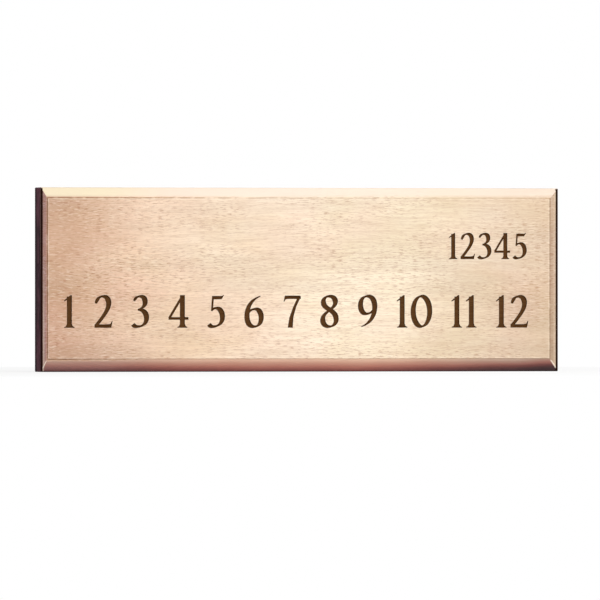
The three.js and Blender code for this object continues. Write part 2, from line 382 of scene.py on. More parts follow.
class Wiring:
    """The node tree of a material or of the world."""

    def __init__(self, owner: bpy.types.Material | bpy.types.World) -> None:
        """Empties the tree of a material or of the world, to be wired anew.

        Args:
            owner: The material or the world.
        """
        owner.use_nodes = True
        self.tree = owner.node_tree
        self.tree.nodes.clear()

    def node(
        self,
        kind: str,
        settings: dict[str, object] | None = None,
        inputs: dict[str | int, object] | None = None,
    ) -> bpy.types.Node:
        """Adds a node.

        Args:
            kind: The node's type, without its Shader Node prefix.
            settings: Its properties.
            inputs: The value or the link of each socket, by its name or number.

        Returns:
            The node.
        """
        made = self.tree.nodes.new("ShaderNode" + kind)
        for name, value in (settings or {}).items():
            setattr(made, name, value)
        for name, value in (inputs or {}).items():
            if isinstance(value, Value):
                value = value.socket
            if isinstance(value, Link):
                self.tree.links.new(value, made.inputs[name])
            else:
                made.inputs[name].default_value = value
        return made

    def _split(self, output: str) -> tuple["Value", ...]:
        """The three parts of one vector of the Texture Coordinate node."""
        split = self.node("SeparateXYZ", inputs={0: self.node("TexCoord").outputs[output]})
        return tuple(Value(self, split.outputs[axis]) for axis in range(3))

    def place(self) -> tuple["Value", ...]:
        """The three coordinates of a point of the piece."""
        return self._split("Object")

    def facing(self) -> tuple["Value", ...]:
        """The three parts of the surface's normal in the piece's own frame."""
        return self._split("Normal")

    def seen(self) -> "Value":
        """1 for a ray from the camera, from gloss or from glass, and 0 for any other.

        Returns:
            That number.
        """
        rays = self.node("LightPath").outputs
        camera, gloss = Value(self, rays["Is Camera Ray"]), Value(self, rays["Is Glossy Ray"])
        return camera.most(gloss).most(Value(self, rays["Is Transmission Ray"]))

    def noise(
        self,
        scale: Scale,
        seed: float,
        detail: float = 2.0,
        rough: float = 0.5,
        at: tuple["Value", ...] | None = None,
    ) -> "Value":
        """Soft noise from 0 to 1.

        Args:
            scale: The number of its features to a metre along X, Y and Z.
            seed: Another seed gives another pattern.
            detail: The number of finer layers.
            rough: The weight of the finer layers.
            at: The three coordinates that it follows, if not those of the piece.

        Returns:
            The noise.
        """
        spread = [along * share for along, share in zip(at or self.place(), scale)]
        where = self.node("CombineXYZ", inputs=dict(enumerate(spread))).outputs[0]
        inputs = {"Vector": where, "W": seed, "Scale": 1.0, "Detail": detail, "Roughness": rough}
        return Value(self, self.node("TexNoise", {"noise_dimensions": "4D"}, inputs).outputs[0])

    def mix(self, share: object, first: object, second: object, blend: str = "MIX") -> Link:
        """Mixes two colours.

        Args:
            share: How much of the second colour, 0 to 1.
            first: The first colour.
            second: The second colour.
            blend: How they blend.

        Returns:
            The mixed colour.
        """
        settings = {"data_type": "RGBA", "blend_type": blend, "clamp_factor": True}
        return self.node("Mix", settings, {0: share, 6: first, 7: second}).outputs[2]

    def ramp(self, share: object, stops: Stops) -> Link:
        """A colour from a ramp.

        Args:
            share: Where on the ramp it is, 0 to 1.
            stops: The place and colour of each stop, in rising order.

        Returns:
            The colour.
        """
        made = self.node("ValToRGB", inputs={0: share})
        marks = made.color_ramp.elements
        for index, (position, colour) in enumerate(stops):
            mark = marks[index] if index < len(marks) else marks.new(position)
            mark.position = position
            mark.color = colour
        return made.outputs["Color"]

    def bump(self, height: object, distance: float, strength: float = 1.0) -> Link:
        """A normal from a height of 0 to 1 that stands for a distance in metres."""
        inputs = {"Height": height, "Distance": distance, "Strength": strength}
        return self.node("Bump", inputs=inputs).outputs["Normal"]


class Value:
    """A number that varies over a surface, and takes part in arithmetic."""

    def __init__(self, wiring: Wiring, socket: Link) -> None:
        """Wraps a socket of a tree."""
        self.wiring = wiring
        self.socket = socket

    def math(self, operation: str, *others: object) -> "Value":
        """The result of a Math node whose first input is this value."""
        node = self.wiring.node("Math", {"operation": operation}, dict(enumerate((self, *others))))
        return Value(self.wiring, node.outputs[0])

    def __add__(self, other: object) -> "Value":
        """This value plus another."""
        return self.math("ADD", other)

    def __sub__(self, other: object) -> "Value":
        """This value less another."""
        return self.math("SUBTRACT", other)

    def __rsub__(self, other: object) -> "Value":
        """Another value less this one."""
        return self.math("MULTIPLY_ADD", -1.0, other)

    def __mul__(self, other: object) -> "Value":
        """This value times another."""
        return self.math("MULTIPLY", other)

    def __truediv__(self, other: object) -> "Value":
        """This value over another."""
        return self.math("DIVIDE", other)

    def __abs__(self) -> "Value":
        """This value without its sign."""
        return self.math("ABSOLUTE")

    __radd__ = __add__
    __rmul__ = __mul__

    def most(self, other: object) -> "Value":
        """The greater of this value and another."""
        return self.math("MAXIMUM", other)

    def least(self, other: object) -> "Value":
        """The lesser of this value and another."""
        return self.math("MINIMUM", other)

    def power(self, exponent: float) -> "Value":
        """This value to a power."""
        return self.math("POWER", exponent)

    def rise(self, start: float, end: float) -> "Value":
        """A smooth step from 0 to 1.

        Args:
            start: This value where the step begins.
            end: This value where it ends, which may lie below the start.

        Returns:
            The step.
        """
        settings = {"interpolation_type": "SMOOTHSTEP", "clamp": True}
        inputs = {"Value": self, "From Min": start, "From Max": end, "To Min": 0.0, "To Max": 1.0}
        made = self.wiring.node("MapRange", settings, inputs)
        return Value(self.wiring, made.outputs["Result"])


# Finishes


@dataclass(frozen=True)
class Finish:
    """What every finish shares: a name and the last step, which joins its parts into a material."""

    name: str

    def wire(self, wiring: Wiring) -> dict[str, object]:
        """The sockets of the surface that this finish sets.

        Args:
            wiring: The material's node tree.

        Returns:
            The value or link of each socket, by name.
        """
        raise NotImplementedError

    def material(self) -> bpy.types.Material:
        """Makes the material.

        Returns:
            The material, with its nodes.
        """
        made = bpy.data.materials.new(self.name)
        wiring = Wiring(made)
        surface = wiring.node("BsdfPrincipled", inputs=self.wire(wiring))
        wiring.node("OutputMaterial", inputs={"Surface": surface.outputs["BSDF"]})
        return made


@dataclass(frozen=True)
class Grain:
    """How the grain lies and shows. Each layer has its own fineness in X, Y and Z, in marks a metre."""

    blotch: Scale = (16.0, 30.0, 34.0)
    line: Scale = (65.0, 480.0, 1350.0)
    fleck: Scale = (270.0, 700.0, 2200.0)
    pale: Scale = (220.0, 700.0, 1900.0)
    patch: Scale = (26.0, 40.0, 70.0)
    sway: float = 7.0 * MM
    ripple: float = 3.0 * MM
    line_share: float = 0.3
    fleck_share: float = 0.55
    pale_share: float = 0.38

    def wire(self, wiring: Wiring) -> tuple[Value, ...]:
        """Wires the layers of the grain.

        Args:
            wiring: The material's node tree.

        Returns:
            Soft blotches, fine lines, dark pore flecks and pale flecks, each from 0 to 1.
        """
        x, y, z = wiring.place()
        sway = wiring.noise((6.0, 14.0, 14.0), seed=3.0, detail=1.0) - 0.5
        ripple = wiring.noise((42.0, 60.0, 70.0), seed=13.0, detail=1.0) - 0.5
        at = (x, y, z + sway * self.sway + ripple * self.ripple)
        layers = (self.blotch, self.line, self.fleck, self.pale, self.patch)
        blotch, line, fleck, pale, patch = (
            wiring.noise(scale, seed=float(seed), rough=0.55, at=at) for seed, scale in enumerate(layers)
        )
        dense = 0.3 + patch.rise(0.36, 0.62) * 0.55 + x.rise(-0.060, -0.120) * 0.25
        flecks = (fleck.rise(0.53, 0.61) * dense, pale.rise(0.53, 0.62) * dense)
        return (blotch.rise(0.30, 0.70), line.rise(0.38, 0.66), *flecks)


@dataclass(frozen=True)
class PaleHardwood(Finish):
    """Sanded pale hardwood, with a painted highlight on its top bevel and painted shade on its sides and
    bevels.

    The crest is where the bevels begin, and a share of 0 to 1 runs out from it across each of them. The low
    tones are the painted shade of the lower bevel. They run on to its low reach, where that shade is
    deepest.
    """

    low: Vector
    high: Vector
    foot: float
    flat: Edges
    crest: Edges
    left_rim: float = 1.0 * MM
    right_rim: float = 1.7 * MM
    low_rim: float = 0.6 * MM
    side_shade_reach: float = 4.5 * MM
    low_reach: float = 1.45
    rough: float = 0.66
    shine: float = 0.02
    tones: Stops = (
        (0.05, srgb(209, 174, 152)),
        (0.2, srgb(237, 212, 188)),
        (0.5, srgb(250, 236, 216)),
        (0.7, srgb(248, 235, 214)),
        (0.95, srgb(221, 200, 178)),
    )
    rosy: Colour = srgb(244, 212, 202)
    sandy: Colour = srgb(238, 222, 182)
    lit: Colour = (1.085, 1.09, 1.09, 1.0)
    shaded: Colour = (0.965, 0.965, 0.955, 1.0)
    vein: Colour = srgb(206, 172, 140)
    pore: Colour = srgb(172, 116, 82)
    light: Colour = srgb(255, 240, 220)
    # Painted highlight colours for the top bevel, as if lit from above.
    top_highlight: Colour = srgb(246, 228, 212)
    top_highlight_left: Colour = srgb(245, 231, 200)
    # Painted shade colours for the quirk, the end bevels, the lower bevel, the sides and their rim.
    quirk_shade: Colour = srgb(186, 158, 128)
    left_bevel_shade: Colour = srgb(228, 217, 238)
    right_bevel_shade_inner: Colour = srgb(224, 217, 214)
    right_bevel_shade_outer: Colour = srgb(238, 234, 232)
    end_shade: Colour = srgb(218, 228, 234)
    left_low_shade_lift: Colour = srgb(170, 145, 140)
    side_shade_colour: Colour = srgb(107, 65, 77)
    side_shade_dark: Colour = srgb(40, 21, 29)
    rim: Colour = srgb(38, 17, 11)
    low_tones: Stops = (
        (0.0, srgb(226, 188, 165)),
        (0.2, srgb(197, 149, 130)),
        (0.4, srgb(178, 115, 102)),
        (0.6, srgb(135, 75, 73)),
        (0.8, srgb(94, 58, 61)),
        (1.0, srgb(67, 44, 52)),
    )
    grain: Grain = Grain()

    def _tone(self, wiring: Wiring, blotch: Value) -> Link:
        """The wood's colour, with rosy and sandy blotches, and painted shade that darkens both ends.

        Args:
            wiring: The material's node tree.
            blotch: The soft blotches of the grain.

        Returns:
            The colour.
        """
        x, _, _ = wiring.place()
        drift = wiring.noise((9.0, 9.0, 30.0), seed=7.0) - 0.5
        tint = wiring.noise((24.0, 24.0, 34.0), seed=17.0, detail=1.0)
        band = wiring.noise((14.0, 20.0, 75.0), seed=19.0)
        # The ramp along the board darkens both ends: painted shade where the light falls off.
        along = (x - self.low.x) / (self.high.x - self.low.x) + drift * 0.2
        tinted = wiring.mix(tint.rise(0.35, 0.65), self.rosy, self.sandy)
        banded = wiring.mix(band.rise(0.35, 0.65), self.lit, self.shaded)
        colour = wiring.mix(0.08 + blotch * 0.26, wiring.ramp(along, self.tones), tinted, "MULTIPLY")
        return wiring.mix(1.0, colour, banded, "MULTIPLY")

    def _quirk(self, wiring: Wiring) -> tuple[Value, Value]:
        """The quirk round the flat, which holds a broken line of painted shade that is strongest at the top
        left.

        Args:
            wiring: The material's node tree.

        Returns:
            The line of painted shade, and the painted highlight on the flat's edge beside it.
        """
        x, y, z = wiring.place()
        flat = self.flat
        past = (flat.left - x).most(x - flat.right).most(z - flat.top).most(flat.bottom - z)
        stray = wiring.noise((260.0, 120.0, 260.0), seed=5.0)
        corner = (x - z * 0.9).rise(-0.03, -0.12)
        strength = 0.22 + corner * 0.42 + (x - flat.right).rise(-0.1 * MM, 0.0) * 0.3
        # Painted shade along the quirk, and a painted highlight on the flat's edge beside it.
        line = past.rise(-0.10 * MM, 0.05 * MM) * past.rise(0.75 * MM, 0.5 * MM)
        edge = past.rise(-0.75 * MM, -0.35 * MM) * past.rise(0.02 * MM, -0.06 * MM)
        front = y.rise(self.foot, self.foot - 1.0 * MM)
        return line * front * strength * stray.rise(0.30, 0.50), edge * front * stray.rise(0.65, 0.40)

    def _bevels(self, wiring: Wiring, colour: Link) -> Link:
        """Paints shade on the end bevels and the lower bevel, and highlights on the mitres and outside
        edges.

        Args:
            wiring: The material's node tree.
            colour: The wood's own colour.

        Returns:
            The colour with the painted shade and highlights.
        """
        x, y, z = wiring.place()
        facing_x, _, _ = wiring.facing()
        crest = self.crest
        left_share = (crest.left - x) / (crest.left - self.low.x)
        right_share = (x - crest.right) / (self.high.x - crest.right)
        low_share = (crest.bottom - z) / (crest.bottom - self.low.z)
        top_share = (z - crest.top) / (self.high.z - crest.top)
        stray = wiring.noise((45.0, 200.0, 200.0), seed=12.0, detail=3.0) - 0.5
        front = y.rise(self.foot + 0.6 * MM, self.foot + 0.1 * MM)
        # Painted shade: the left bevel is darkened as if turned away from the light.
        on_left = (0.0 - facing_x).rise(0.12, 0.40) * front
        colour = wiring.mix(on_left, colour, self.left_bevel_shade, "MULTIPLY")
        # Painted shade on the right bevel, lighter towards its outside edge.
        on_right = (right_share - low_share.most(top_share)).rise(-0.02, 0.02)
        on_right = on_right * (x - self.flat.right).rise(0.0, 0.1 * MM)
        right_bevel_shade = wiring.mix(right_share.rise(0.2, 0.45), self.right_bevel_shade_inner, self.right_bevel_shade_outer)
        colour = wiring.mix(on_right * front, colour, right_bevel_shade, "MULTIPLY")
        # Painted shade down the lower bevel, deeper towards both ends and lifted a little at the far left.
        ends = x.rise(0.035, 0.120).most(x.rise(-0.03, -0.11) * 0.42)
        depth = low_share * (1.0 + ends * 0.42) + x.rise(0.112, 0.136) * 0.28 + stray * 0.22
        low_colour = wiring.ramp(depth / self.low_reach, self.low_tones)
        low_colour = wiring.mix(ends, low_colour, self.end_shade, "MULTIPLY")
        left_end = x.rise(-0.07, -0.12)
        low_colour = wiring.mix(left_end * low_share.rise(0.97, 0.7) * 0.28, low_colour, self.left_low_shade_lift)
        below = (self.flat.bottom - z).rise(-0.04 * MM, 0.06 * MM) * front
        on_low = below * (low_share - left_share.most(right_share)).rise(-0.04, 0.04)
        on_low = on_low * (low_share - left_end * 0.16).rise(-0.12, 0.03)
        shaded = wiring.mix(on_low * 0.96, colour, low_colour)
        # Painted highlights along the lower mitres and the outside edges of the end bevels.
        mitre = abs(low_share - left_share).least(abs(low_share - right_share))
        mitre_highlight = mitre.rise(0.15, 0.02) * low_share.rise(0.02, 0.15)
        outer = left_share.rise(0.35, 0.5) * left_share.rise(0.72, 0.62) * z.rise(0.02, -0.03) * 0.35
        outer = outer + on_right * right_share.rise(0.42, 0.55) * 0.08
        return wiring.mix((mitre_highlight * 0.85 + outer) * front, shaded, self.light)

    def _paint_side_shade(self, wiring: Wiring, colour: Link) -> Link:
        """Paints shade on the four sides, which reaches onto the back and rims the face at the ends and
        below.

        Args:
            wiring: The material's node tree.
            colour: The colour of the bare wood.

        Returns:
            The colour with the painted shade on the sides.
        """
        x, y, z = wiring.place()
        stray = wiring.noise((60.0, 200.0, 60.0), seed=11.0, detail=3.0) - 0.5
        streak = wiring.noise((40.0, 280.0, 130.0), seed=14.0, detail=3.0, rough=0.6)
        from_left, from_right = x - self.low.x, self.high.x - x
        from_low, from_top = z - self.low.z, self.high.z - z
        # A thin line of painted shade rims the face at both ends and below.
        rim = from_left.rise(self.left_rim, self.left_rim - 0.3 * MM)
        rim = rim.most(from_right.rise(self.right_rim, self.right_rim - 0.25 * MM))
        rim = rim.most(from_low.rise(self.low_rim, self.low_rim - 0.5 * MM))
        rim = rim * from_top.rise(0.1 * MM, 0.5 * MM)
        rim = rim * y.rise(self.foot - 2.0 * MM, self.foot - 1.5 * MM)
        rim = rim * y.rise(self.foot + 1.2 * MM, self.foot)
        # The sides are painted dark as shade, reaching a little way onto the back.
        inward = from_left.least(from_right).least(from_low).least(from_top) + stray * (2.0 * MM)
        start = self.foot + 0.1 * MM
        behind = y - z.rise(0.0, 10.0 * MM) * (0.4 * MM)
        side = behind.rise(start, start + 0.4 * MM) * inward.rise(self.side_shade_reach, 1.2 * MM)
        edges = y.rise(-9.0 * MM, -4.5 * MM) + y.rise(self.foot + 3.6 * MM, self.foot + 2.4 * MM) * 0.42
        darker = streak.rise(0.34, 0.66) * 0.5 + edges * 0.7 + abs(z).rise(0.036, 0.022) * 0.4
        colour = wiring.mix(side, colour, wiring.mix(darker, self.side_shade_colour, self.side_shade_dark))
        return wiring.mix(rim, colour, self.rim)

    def wire(self, wiring: Wiring) -> dict[str, object]:
        """The sockets of the wood.

        Args:
            wiring: The material's node tree.

        Returns:
            The value or link of each socket, by name.
        """
        blotch, line, fleck, pale = self.grain.wire(wiring)
        x, y, _ = wiring.place()
        _, _, facing_z = wiring.facing()
        # Painted highlight: faces turned up on the front are lightened as if lit from above, and their
        # grain fades.
        on_top = facing_z.rise(0.12, 0.40) * y.rise(self.foot + 0.3 * MM, self.foot)
        quirk, edge = self._quirk(wiring)
        quiet = 1.0 - on_top * 0.75
        colour = self._tone(wiring, blotch)
        colour = wiring.mix(line * self.grain.line_share * quiet, colour, self.vein)
        # Pale flecks of the grain, and the painted highlight on the flat's edge.
        colour = wiring.mix(pale * self.grain.pale_share + edge * 0.35, colour, self.light)
        colour = wiring.mix(fleck * self.grain.fleck_share * quiet, colour, self.pore)
        # The painted highlight on the top bevel turns creamier towards the left end.
        left_end = x.rise(-0.06, -0.11)
        top_highlight_colour = wiring.mix(left_end, self.top_highlight, self.top_highlight_left)
        colour = wiring.mix(on_top * (0.7 + left_end * 0.2), colour, top_highlight_colour)
        colour = wiring.mix(quirk, colour, self.quirk_shade, "MULTIPLY")
        return {
            "Base Color": self._paint_side_shade(wiring, self._bevels(wiring, colour)),
            "Roughness": self.rough + fleck * 0.2,
            "Normal": wiring.bump(0.5 - fleck * 0.5 + pale * 0.25, 0.08 * MM, 0.7),
            "Specular IOR Level": self.shine,
        }


@dataclass(frozen=True)
class Burnt(Finish):
    """Wood that a hot cutter has browned: a brown floor and darker walls."""

    floor: Colour = srgb(92, 60, 30)
    floor_dark: Colour = srgb(70, 43, 18)
    wall: Colour = srgb(48, 26, 8)
    rough: float = 0.72
    shine: float = 0.1

    def wire(self, wiring: Wiring) -> dict[str, object]:
        """The sockets of the burnt wood.

        Args:
            wiring: The material's node tree.

        Returns:
            The value or link of each socket, by name.
        """
        fibre = wiring.noise((90.0, 900.0, 1600.0), seed=2.0, detail=3.0)
        blot = wiring.noise((160.0, 160.0, 160.0), seed=4.0)
        _, facing_y, _ = wiring.facing()
        wall = abs(facing_y).rise(0.97, 0.7)
        scorched = fibre.rise(0.35, 0.7) * 0.55 + blot.rise(0.4, 0.7) * 0.35
        colour = wiring.mix(scorched, self.floor, self.floor_dark)
        return {
            "Base Color": wiring.mix(wall, colour, self.wall),
            "Roughness": self.rough + fibre * 0.15,
            "Normal": wiring.bump(fibre, 0.06 * MM, 0.8),
            "Specular IOR Level": self.shine,
        }


@dataclass(frozen=True)
class PlatedSteel(Finish):
    """Plated steel with faint drawing lines and small dull spots."""

    bright: Colour
    dull: Colour
    rough: float = 0.3

    def wire(self, wiring: Wiring) -> dict[str, object]:
        """The sockets of the metal.

        Args:
            wiring: The material's node tree.

        Returns:
            The value or link of each socket, by name.
        """
        drawn = wiring.noise((2600.0, 2600.0, 60.0), seed=1.0)
        spot = wiring.noise((420.0, 420.0, 420.0), seed=6.0, detail=4.0)
        dull = spot.rise(0.46, 0.72)
        return {
            "Base Color": wiring.mix(dull * 0.5 + drawn.rise(0.35, 0.7) * 0.4, self.bright, self.dull),
            "Metallic": 1.0,
            "Roughness": self.rough + dull * 0.18 + drawn * 0.1,
            "Normal": wiring.bump(drawn, 0.01 * MM, 0.5),
        }


@dataclass(frozen=True)
class MattRubber(Finish):
    """Moulded matt rubber with a dusty bloom."""

    body: Colour = srgb(44, 42, 41)
    bloom: Colour = srgb(88, 84, 80)
    rough: float = 0.7
    shine: float = 0.4

    def wire(self, wiring: Wiring) -> dict[str, object]:
        """The sockets of the rubber.

        Args:
            wiring: The material's node tree.

        Returns:
            The value or link of each socket, by name.
        """
        cloud = wiring.noise((300.0, 300.0, 300.0), seed=8.0, detail=4.0)
        fine = wiring.noise((4000.0, 4000.0, 4000.0), seed=9.0, detail=1.0)
        return {
            "Base Color": wiring.mix(cloud.rise(0.42, 0.8) * 0.6, self.body, self.bloom),
            "Roughness": self.rough + cloud * 0.15,
            "Normal": wiring.bump(fine, 0.03 * MM, 0.6),
            "Specular IOR Level": self.shine,
        }


# Numerals, drawn on a height of 1 with their left edge at 0


def strip(sides: list[tuple[Vector, Vector]]) -> list[Patch]:
    """The faces between pairs of side points."""
    return [[a[0], a[1], b[1], b[0]] for a, b in zip(sides, sides[1:])]


def wedge(*corners: Point) -> list[Patch]:
    """A flat stroke given by its corners."""
    return [[Vector(corner) for corner in corners]]


def half_turned(width: float, patches: list[Patch]) -> list[Patch]:
    """Strokes turned half a turn within a numeral's width."""
    return [[Vector((width - corner.x, 1 - corner.y)) for corner in patch] for patch in patches]


@dataclass(frozen=True)
class BroadPen:
    """A broad pen: its widest and finest marks, as shares of a numeral's height, and its slant.

    Each stroke is a list of flat faces, and a face is a list of its corners in order. A curve is drawn in
    steps, and its ends can be narrowed over the share of it that the taper gives.
    """

    stem: float = 0.172
    hair: float = 0.062
    slant: float = math.radians(20.0)
    steps: int = 10
    taper: float = 0.4

    def _sides(self, at: Vector, along: Vector, share: float = 1.0) -> tuple[Vector, Vector]:
        """The two sides of the pen's mark at a point.

        Args:
            at: The point.
            along: The way that the pen moves there.
            share: How much of its full width it marks.

        Returns:
            The points to the left and to the right.
        """
        turn = math.atan2(along.y, along.x) - self.slant
        width = math.hypot(self.stem * math.sin(turn), self.hair * math.cos(turn))
        across = Vector((-along.y, along.x)) * (width / 2)
        across *= share
        return at + across, at - across

    def curve(self, start: Point, *curves: Curve, thin: Point = (1.0, 1.0)) -> list[Patch]:
        """Draws a curved stroke.

        Args:
            start: Where it starts.
            *curves: Two handles and an end for each curve.
            thin: How much of the width is left at each of its ends.

        Returns:
            The stroke.
        """
        stations = []
        begin = Vector(start)
        for number, curve in enumerate(curves):
            first, second, end = Vector(curve[0:2]), Vector(curve[2:4]), Vector(curve[4:6])
            for step in range(1 if number else 0, self.steps + 1):
                t = step / self.steps
                u = 1 - t
                at = begin * u**3 + first * (3 * u * u * t) + second * (3 * u * t * t) + end * t**3
                along = (first - begin) * u**2 + (second - first) * (2 * u * t) + (end - second) * t**2
                stations.append((at, along.normalized()))
            begin = end
        last, ramp = len(stations) - 1, self.taper * self.steps
        sides = []
        for index, (at, along) in enumerate(stations):
            near_start = max(0.0, 1 - index / ramp)
            near_end = max(0.0, 1 - (last - index) / ramp)
            share = (1 - near_start * (1 - thin[0])) * (1 - near_end * (1 - thin[1]))
            sides.append(self._sides(at, along, share))
        return strip(sides)

    def ring(self, centre: Point, radii: Point) -> list[Patch]:
        """Draws a closed oval.

        Args:
            centre: Its centre.
            radii: Its half width and half height.

        Returns:
            The stroke.
        """
        count = 4 * self.steps
        sides = []
        for step in range(count):
            turn = 2 * math.pi * step / count
            at = Vector((radii[0] * math.cos(turn), radii[1] * math.sin(turn)))
            along = Vector((-radii[0] * math.sin(turn), radii[1] * math.cos(turn))).normalized()
            sides.append(self._sides(Vector(centre) + at, along))
        return strip([*sides, sides[0]])

    def bar(self, start: Point, end: Point, width: float) -> list[Patch]:
        """Draws a straight stroke of one width.

        Args:
            start: Where it starts.
            end: Where it ends.
            width: Its width.

        Returns:
            The stroke.
        """
        first, last = Vector(start), Vector(end)
        along = (last - first).normalized()
        across = Vector((-along.y, along.x)) * (width / 2)
        return strip([(first + across, first - across), (last + across, last - across)])

    def upright(self, x: float, top: float) -> list[Patch]:
        """An upright main stroke."""
        return self.bar((x, 0.0), (x, top), 0.91 * self.stem)

    def serif(self, x: float, reach: float) -> list[Patch]:
        """The bracketed serif that a main stroke stands on.

        Args:
            x: The place of the main stroke.
            reach: How far the serif reaches to each side.

        Returns:
            The serif.
        """
        half = 0.45 * self.stem
        side = [(reach, 0.0), (reach, 0.022), (half + 0.03, 0.05), (half, 0.12)]
        right = [(x + out, up) for out, up in side]
        left = [(x - out, up) for out, up in reversed(side)]
        return wedge(*right, *left)


@dataclass(frozen=True)
class Numeral:
    """One numeral: the width that it takes up and the flat faces of its strokes."""

    width: float
    patches: list[Patch]


def numeral(width: float, *strokes: list[Patch]) -> Numeral:
    """A numeral of some strokes."""
    return Numeral(width, [patch for stroke in strokes for patch in stroke])


PEN = BroadPen()
SIX = numeral(
    0.64,
    PEN.curve(
        (0.52, 0.965),
        (0.30, 0.90, 0.095, 0.70, 0.095, 0.36),
        (0.095, 0.14, 0.19, 0.034, 0.325, 0.034),
        (0.46, 0.034, 0.545, 0.15, 0.545, 0.31),
        (0.545, 0.47, 0.465, 0.572, 0.36, 0.572),
        thin=(0.5, 1.0),
    ),
    PEN.curve((0.375, 0.572), (0.27, 0.575, 0.18, 0.53, 0.12, 0.45)),
)
NUMERALS = {
    "0": numeral(0.70, PEN.ring((0.35, 0.5), (0.262, 0.465))),
    "1": numeral(
        0.38,
        PEN.upright(0.2, 0.955),
        wedge((0.03, 0.80), (0.03, 0.835), (0.235, 1.0), (0.278, 1.0), (0.278, 0.85), (0.125, 0.85)),
        PEN.serif(0.2, 0.165),
    ),
    "2": numeral(
        0.61,
        PEN.curve(
            (0.075, 0.745),
            (0.105, 0.875, 0.185, 0.96, 0.295, 0.96),
            (0.415, 0.96, 0.475, 0.865, 0.475, 0.75),
            (0.475, 0.54, 0.29, 0.33, 0.075, 0.06),
            thin=(0.5, 1.0),
        ),
        wedge(
            (0.03, 0.0), (0.555, 0.0), (0.60, 0.205), (0.575, 0.205),
            (0.53, 0.125), (0.45, 0.105), (0.03, 0.105),
        ),
    ),
    "3": numeral(
        0.57,
        PEN.curve(
            (0.08, 0.82),
            (0.125, 0.915, 0.19, 0.96, 0.275, 0.96),
            (0.375, 0.96, 0.43, 0.89, 0.43, 0.79),
            (0.43, 0.67, 0.34, 0.585, 0.20, 0.555),
            thin=(0.5, 0.7),
        ),
        PEN.curve(
            (0.20, 0.55),
            (0.37, 0.56, 0.475, 0.46, 0.475, 0.30),
            (0.475, 0.14, 0.36, 0.036, 0.20, 0.036),
            (0.13, 0.036, 0.08, 0.06, 0.045, 0.105),
            thin=(0.7, 0.8),
        ),
    ),
    "4": numeral(
        0.67,
        PEN.bar((0.455, 0.97), (0.045, 0.295), 0.075),
        PEN.bar((0.02, 0.285), (0.645, 0.285), 0.082),
        PEN.upright(0.455, 1.0),
        PEN.serif(0.455, 0.155),
    ),
    "5": numeral(
        0.57,
        wedge((0.145, 0.87), (0.445, 0.87), (0.52, 1.0), (0.50, 1.01), (0.46, 0.975), (0.145, 0.975)),
        PEN.bar((0.174, 0.97), (0.138, 0.51), PEN.hair),
        PEN.curve(
            (0.125, 0.525),
            (0.165, 0.58, 0.22, 0.60, 0.27, 0.60),
            (0.40, 0.60, 0.47, 0.47, 0.47, 0.325),
            (0.47, 0.15, 0.345, 0.036, 0.18, 0.036),
            (0.12, 0.036, 0.075, 0.06, 0.04, 0.105),
            thin=(0.5, 0.8),
        ),
    ),
    "6": SIX,
    "7": numeral(
        0.60,
        wedge(
            (0.035, 0.80), (0.06, 0.80), (0.10, 0.865), (0.165, 0.88),
            (0.58, 0.88), (0.58, 0.945), (0.56, 0.985), (0.075, 0.985),
        ),
        wedge(
            (0.47, 0.92), (0.58, 0.945), (0.44, 0.66), (0.345, 0.33),
            (0.325, 0.0), (0.165, 0.0), (0.215, 0.30), (0.33, 0.62),
        ),
    ),
    "8": numeral(
        0.62,
        PEN.curve(
            (0.31, 0.965),
            (0.19, 0.965, 0.115, 0.885, 0.115, 0.785),
            (0.115, 0.55, 0.52, 0.56, 0.52, 0.265),
            (0.52, 0.13, 0.43, 0.034, 0.305, 0.034),
        ),
        PEN.curve(
            (0.31, 0.034),
            (0.17, 0.034, 0.095, 0.13, 0.095, 0.25),
            (0.095, 0.49, 0.495, 0.56, 0.495, 0.79),
            (0.495, 0.89, 0.42, 0.965, 0.30, 0.965),
        ),
    ),
    "9": numeral(SIX.width, half_turned(SIX.width, SIX.patches)),
}
SPACE = 0.08


def number_width(text: str) -> float:
    """The width of a number on a height of 1."""
    return sum(NUMERALS[digit].width for digit in text) + SPACE * (len(text) - 1)


# The board


